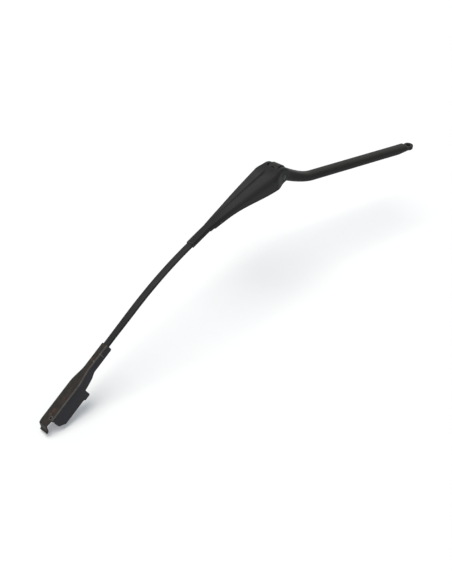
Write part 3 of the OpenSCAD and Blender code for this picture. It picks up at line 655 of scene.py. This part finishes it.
# Materials
class Nodes:
    """A material, with short ways to add nodes to it and to link them."""

    def __init__(self, name):
        self.mat = bpy.data.materials.new(name)
        self.mat.use_nodes = True
        self.tree = self.mat.node_tree
        self.bsdf = self.tree.nodes["Principled BSDF"]
        coords = self.tree.nodes.new("ShaderNodeTexCoord")
        self.coords, self.normal = coords.outputs["Object"], coords.outputs["Normal"]

    def set(self, socket, value):
        """Links an output to a socket, or gives the socket a value."""
        if isinstance(value, bpy.types.NodeSocket):
            self.tree.links.new(value, socket)
        elif isinstance(value, tuple) and len(value) == 3 and len(socket.default_value) == 4:
            socket.default_value = (*value, 1)
        else:
            socket.default_value = value

    def add(self, kind, *values, **inputs):
        """A node with its sockets set in order or by name, and its own options by _name."""
        node = self.tree.nodes.new("ShaderNode" + kind)
        for key, value in inputs.items():
            if key[0] == "_":
                setattr(node, key[1:], value)
            else:
                self.set(node.inputs[key], value)
        for socket, value in zip(node.inputs, values):
            self.set(socket, value)
        return node

    def noise(self, scale, detail=3.0, rough=0.5):
        node = self.add("TexNoise", Vector=self.coords, Scale=scale, Detail=detail, Roughness=rough)
        return node.outputs["Fac"]

    def ramp(self, fac, low, high, a=0.0, b=1.0):
        return self.add("MapRange", fac, low, high, a, b).outputs["Result"]

    def math(self, operation, *values):
        return self.add("Math", *values, _operation=operation).outputs[0]

    def blend(self, fac, a, b):
        node = self.tree.nodes.new("ShaderNodeMix")
        node.data_type = "RGBA"
        # Of the mix node's sockets, 0 is its factor, 6 and 7 its colours and output 2 the mixed colour
        for k, value in ((0, fac), (6, a), (7, b)):
            self.set(node.inputs[k], value)
        return node.outputs[2]

    def along(self, place, k):
        """Millimetres along one axis of a place."""
        axis = place.to_3x3().col[k].normalized()
        dot = self.add("VectorMath", self.coords, tuple(axis), _operation="DOT_PRODUCT").outputs["Value"]
        return self.math("MULTIPLY_ADD", dot, 1 / MM, -axis.dot(place.translation))

    def facing(self, place, way, low, high):
        """How closely the surface faces a direction of a place."""
        axis = (place.to_3x3() @ Vector(way)).normalized()
        dot = self.add("VectorMath", self.normal, tuple(axis), _operation="DOT_PRODUCT").outputs["Value"]
        return self.ramp(dot, low, high)

    def spot(self, x, y, cx, cy, r, soft=0.5):
        """A round patch about a place in the plane of two coordinates, with an uneven edge."""
        dx, dy = self.math("SUBTRACT", x, cx), self.math("SUBTRACT", y, cy)
        d = self.math("SQRT", self.math("ADD", self.math("MULTIPLY", dx, dx), self.math("MULTIPLY", dy, dy)))
        uneven = self.math("MULTIPLY_ADD", self.noise(420, 3, 0.6), r * 1.2, -0.6 * r)
        return self.ramp(self.math("ADD", d, uneven), r, r * soft)

    def link(self, out, name):
        self.tree.links.new(out, self.bsdf.inputs[name])

    def finish(self, colour, rough, grain, lumps, fine, slow, specular, metallic=0.0):
        """Colour, gloss that varies with the grain, and a bump of grain and lumps."""
        self.link(colour, "Base Color")
        self.link(self.ramp(fine, 0.3, 0.7, rough - 0.06, rough + 0.08), "Roughness")
        self.bsdf.inputs["Metallic"].default_value = metallic
        self.bsdf.inputs["Specular IOR Level"].default_value = specular
        height = self.math("ADD", self.math("MULTIPLY", fine, grain), self.math("MULTIPLY", slow, lumps))
        bump = self.add("Bump", Height=height, Strength=1.0, Distance=0.001)
        self.link(bump.outputs["Normal"], "Normal")
        return self


DUST = (0.10, 0.10, 0.10)


def coat(name, dark, light, rough, grain, lumps, specular=0.3, chips=0.0, layers=None):
    """Black coat: a fine grain over slow lumps, layers of wear and painted light, and a few pale specks of
    dust.
    """
    n = Nodes(name)
    slow, fine = n.noise(60, 3), n.noise(1700, 4, 0.6)
    colour = n.blend(n.ramp(slow, 0.35, 0.65), dark, light)
    if layers:
        colour = layers(n, colour)
    if chips:
        speck = n.ramp(n.noise(900, 2, 0.5), 0.70 - chips, 0.74 - chips, 0, 0.5)
        colour = n.blend(speck, colour, DUST)
    return n.finish(colour, rough, grain, lumps, fine, slow, specular)


def patchy_edge(n, edge, scale, low, high, least):
    """An edge mark, used both for wear and for painted highlights, which comes and goes along its length."""
    return n.math("MULTIPLY", edge, n.ramp(n.noise(scale, 3), low, high, least, 1))


# Retainer: a darker near side and darker ends, painted shade on the near side's curve and on the up-facing
# dome, dark smudges on the dome and a bare rim at the collar
SHEET_NEAR_SHADE, SHEET_ENDS = (0.0190, 0.0190, 0.0193), (0.0105, 0.0105, 0.0106)
SMUDGE, COLLAR_RIM = (0.008, 0.008, 0.008), (0.060, 0.059, 0.057)
# Each smudge is a place along the arm, a place across it and a radius
SMUDGES = ((11.5, 5.2, 4.2), (5.5, 4.8, 2.6))


def sheet_layers(n, colour):
    x, y = n.along(ARM, 0), n.along(ARM, 1)
    # The near side past the crease is darker: painted shade for its curve turning away from the light
    near = n.math("MULTIPLY", n.ramp(y, -2.4, -0.6), n.ramp(x, -6.0, 6.0))
    colour = n.blend(near, colour, SHEET_NEAR_SHADE)
    # Darker towards both ends; at the dome end this is painted shade that tones down its up-facing top
    ends = n.math("MAXIMUM", n.ramp(x, COLLAR_X - 40, COLLAR_X), n.ramp(x, CREASE_FULL, 12.0))
    colour = n.blend(ends, colour, SHEET_ENDS)
    for cx, cy, r in SMUDGES:
        colour = n.blend(n.spot(x, y, cx, cy, r), colour, SMUDGE)
    end = n.ramp(x, RETAINER_L - 1.2, RETAINER_L - 0.5)
    return n.blend(patchy_edge(n, end, 300, 0.35, 0.6, 0.3), colour, COLLAR_RIM)


# Rod: a painted highlight along the edge between its top and its near side, patchy along its length
ROD_EDGE_HIGHLIGHT = (0.040, 0.040, 0.041)
# The way that the rounded near edges face, where the painted highlights lie
EDGE_WAY = (0, 0.8, 1)


def rod_layers(n, colour):
    # A painted highlight where the surface faces the rounded near edge, patchy along its length
    edge = n.facing(ARM, EDGE_WAY, 0.95, 0.999)
    return n.blend(patchy_edge(n, edge, 120, 0.35, 0.6, 0.3), colour, ROD_EDGE_HIGHLIGHT)


# Shell: a browner web and lip, rust, beige flecks, a pale rim at the latch hole that is bare metal with a
# painted glint, and a painted highlight along the near fold
WEB_DARK, WEB_BROWN = (0.0100, 0.0083, 0.0068), (0.0220, 0.0155, 0.0110)
FLECK, LATCH_RIM_GLINT, SHELL_FOLD_HIGHLIGHT = (0.12, 0.105, 0.085), (0.12, 0.116, 0.108), (0.066, 0.062, 0.056)
# Each spot is a place along the shell, a place across it and a radius, and for rust its colour
RUST = ((98.4, 1.0, 3.6, (0.046, 0.020, 0.014)), (80.0, 2.6, 3.0, (0.034, 0.014, 0.011)),
        (104.0, 0.5, 2.2, (0.055, 0.034, 0.020)), (24.0, -1.0, 2.2, (0.040, 0.020, 0.014)))
FLECKS = ((13.6, 5.0, 1.4), (24.7, 3.8, 1.1))


def shell_layers(n, colour):
    x, y, z = (n.along(SHELL, k) for k in range(3))
    web = n.math("MAXIMUM", n.ramp(z, WEB_Z - 1.6, WEB_Z - 0.4), n.ramp(x, WEB_END - 0.5, WEB_END + 1.0))
    patchy = n.ramp(n.noise(170, 4, 0.6), 0.4, 0.62)
    colour = n.blend(web, colour, n.blend(patchy, WEB_DARK, WEB_BROWN))
    for cx, cy, r, tint in RUST:
        colour = n.blend(n.math("MULTIPLY", web, n.spot(x, y, cx, cy, r)), colour, tint)
    for cx, cy, r in FLECKS:
        colour = n.blend(n.spot(x, y, cx, cy, r), colour, FLECK)
    # A pale rim round the latch hole: bare metal, brightened into a painted glint
    rim = n.spot(x, y, WEB_END - LATCH_BACK, LATCH_SIDE, 2.6, 0.8)
    colour = n.blend(rim, colour, LATCH_RIM_GLINT)
    # A painted highlight along the near fold, patchy along its length
    edge = n.facing(SHELL, EDGE_WAY, 0.90, 0.985)
    return n.blend(patchy_edge(n, edge, 200, 0.3, 0.6, 0.45), colour, SHELL_FOLD_HIGHLIGHT)


def steel(name, colour, rough):
    """Bright steel with a fine grain and a slow change of tone."""
    n = Nodes(name)
    fine, slow = n.noise(2500, 3), n.noise(300, 3)
    tint = n.blend(n.ramp(slow, 0.3, 0.7), tuple(c * 0.75 for c in colour), colour)
    return n.finish(tint, rough, 0.04, 0.0, fine, slow, 0.5, 1.0)


cast = coat("cast_black_coat", (0.0092, 0.0091, 0.0083), (0.0120, 0.0118, 0.0103),
            0.46, 0.06, 0.22, 0.15)
sheet = coat("retainer_black_coat", (0.0205, 0.0205, 0.0207), (0.0238, 0.0238, 0.0235),
             0.50, 0.05, 0.12, 0.12, chips=0.01, layers=sheet_layers)
bar = coat("rod_black_coat", (0.0110, 0.0110, 0.0113), (0.0150, 0.0150, 0.0155),
           0.48, 0.05, 0.12, 0.13, chips=0.02, layers=rod_layers)
pin_black = coat("pin_black_coat", (0.016, 0.016, 0.016), (0.022, 0.022, 0.022),
                 0.45, 0.04, 0.05)
shell_mat = coat("shell_black_coat", (0.0215, 0.0212, 0.0245), (0.0265, 0.0260, 0.0305),
                 0.47, 0.06, 0.08, 0.18, chips=0.02, layers=shell_layers)
bush_mat = Nodes("bush_plastic")
bush_mat.link(bush_mat.blend(bush_mat.noise(700), (0.46, 0.44, 0.38), (0.56, 0.54, 0.48)), "Base Color")
bush_mat.bsdf.inputs["Roughness"].default_value = 0.55
pin_steel = steel("pin_steel", (0.45, 0.44, 0.42), 0.34)
link_steel = steel("link_steel", (0.34, 0.33, 0.31), 0.42)
spring_steel = steel("spring_steel", (0.13, 0.13, 0.13), 0.38)


# Pieces: each rides on its body and takes the place of its plain solid
def dress(o, material):
    o.data.materials.clear()
    o.data.materials.append(material.mat)


HINGE_PIN_L, ANCHOR_PIN_L = EAR_W + 1.2, 2 * half_width(ANCHOR[0]) + 1
for o, material, body, node, slot in (
        (make_head(), cast, "head", "head", "cast_black"),
        (make_retainer(), sheet, "arm", "retainer", "retainer_black"),
        (riveted("hinge_pin_riveted", PIN_D / 2, HINGE_PIN_L, HINGE, 0.7),
         pin_black, "arm", "hinge_pin", "black_pin"),
        (riveted("anchor_pin_riveted", ANCHOR_D / 2, ANCHOR_PIN_L, ANCHOR_AT, 0.5),
         pin_black, "arm", "anchor_pin", "black_pin"),
        (make_rod(), bar, "arm", "rod", "rod_black"),
        (make_shell(), shell_mat, "arm", "blade_shell", "shell_black"),
        (make_spring(), spring_steel, "link", "tension_spring", "spring_steel")):
    dress(o, material)
    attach(o, body)
    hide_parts(node)

# The pieces that keep their solids
for node, material in (("hinge_bush_near", bush_mat), ("hinge_bush_far", bush_mat),
                       ("spring_pin", pin_steel), ("spring_link", link_steel)):
    dress(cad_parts[node], material)

# Camera at the photograph's angle, with a lens and a picture height in pixels of the photograph
CAM_AT = (1.0239, 0.4895, 0.6294)
CAM_TURN, CAM_DOWN = math.radians(50), math.radians(40)
LENS_PX, PICTURE_PX, SENSOR = 800, 584, 36

scene = bpy.context.scene
cam_data = bpy.data.cameras.new("camera")
cam_data.sensor_width = SENSOR
cam_data.lens = LENS_PX / PICTURE_PX * SENSOR
cam = bpy.data.objects.new("camera", cam_data)
cam.location = CAM_AT
forward = Vector((-math.sin(CAM_TURN) * math.cos(CAM_DOWN), -math.cos(CAM_TURN) * math.cos(CAM_DOWN),
                  -math.sin(CAM_DOWN)))
cam.rotation_euler = forward.to_track_quat("-Z", "Y").to_euler()
scene.collection.objects.link(cam)
scene.camera = cam

# Floor, sky and sun: white where they are seen, and a plain soft light for everything else
FLOOR_DROP, FLOOR_SIZE = 0.002, 12
WHITE = (1, 1, 1, 1)
FLOOR_WHITE, FLOOR_BOUNCE = (0.88, 0.88, 0.88, 1), (0.5, 0.5, 0.52, 1)
GLOW, GLOW_SHARE = 1.05, 0.2
SKY_COLOUR, SKY_LIGHT, SKY_SEEN = (0.80, 0.90, 1.0, 1), 0.5, 1.0
SUN_COLOUR, SUN_LIGHT, SUN_SOFT, SUN_FROM = (1.0, 0.96, 0.9), 2.4, 48, (0.08, -0.14, 1)


def seen_ray(tree):
    """1 for rays that show the backdrop itself: to the camera, in gloss and through glass."""
    rays = tree.nodes.new("ShaderNodeLightPath")
    out = rays.outputs["Is Camera Ray"]
    for kind in ("Is Glossy Ray", "Is Transmission Ray"):
        either = tree.nodes.new("ShaderNodeMath")
        either.operation = "MAXIMUM"
        tree.links.new(out, either.inputs[0])
        tree.links.new(rays.outputs[kind], either.inputs[1])
        out = either.outputs[0]
    return out


bpy.ops.mesh.primitive_plane_add(size=FLOOR_SIZE, location=(0.3, 0, cad_box[0][2] - FLOOR_DROP))
floor = bpy.context.object
floor.name = "floor"
f = Nodes("floor_white")
f.bsdf.inputs["Base Color"].default_value = FLOOR_WHITE
f.bsdf.inputs["Roughness"].default_value = 0.9
f.bsdf.inputs["Specular IOR Level"].default_value = 0.1
glow = f.add("Emission", WHITE, GLOW)
paper = f.add("MixShader", GLOW_SHARE, f.bsdf.outputs[0], glow.outputs[0])
bounce = f.add("BsdfDiffuse", FLOOR_BOUNCE, 0.0)
mixed = f.add("MixShader", seen_ray(f.tree), bounce.outputs[0], paper.outputs[0])
f.tree.links.new(mixed.outputs[0], f.tree.nodes["Material Output"].inputs["Surface"])
dress(floor, f)

world = bpy.data.worlds.new("sky")
scene.world = world
world.use_nodes = True
tree = world.node_tree
back = tree.nodes["Background"]
back.inputs["Color"].default_value = SKY_COLOUR
back.inputs["Strength"].default_value = SKY_LIGHT
seen = tree.nodes.new("ShaderNodeBackground")
seen.inputs["Color"].default_value = WHITE
seen.inputs["Strength"].default_value = SKY_SEEN
choose = tree.nodes.new("ShaderNodeMixShader")
tree.links.new(seen_ray(tree), choose.inputs[0])
tree.links.new(back.outputs[0], choose.inputs[1])
tree.links.new(seen.outputs[0], choose.inputs[2])
tree.links.new(choose.outputs[0], tree.nodes["World Output"].inputs["Surface"])

sun_data = bpy.data.lights.new("sun", "SUN")
sun_data.energy = SUN_LIGHT
sun_data.angle = math.radians(SUN_SOFT)
sun_data.color = SUN_COLOUR
sun = bpy.data.objects.new("sun", sun_data)
sun.rotation_euler = (-Vector(SUN_FROM)).to_track_quat("-Z", "Y").to_euler()
scene.collection.objects.link(sun)

scene.view_settings.view_transform = "Standard"
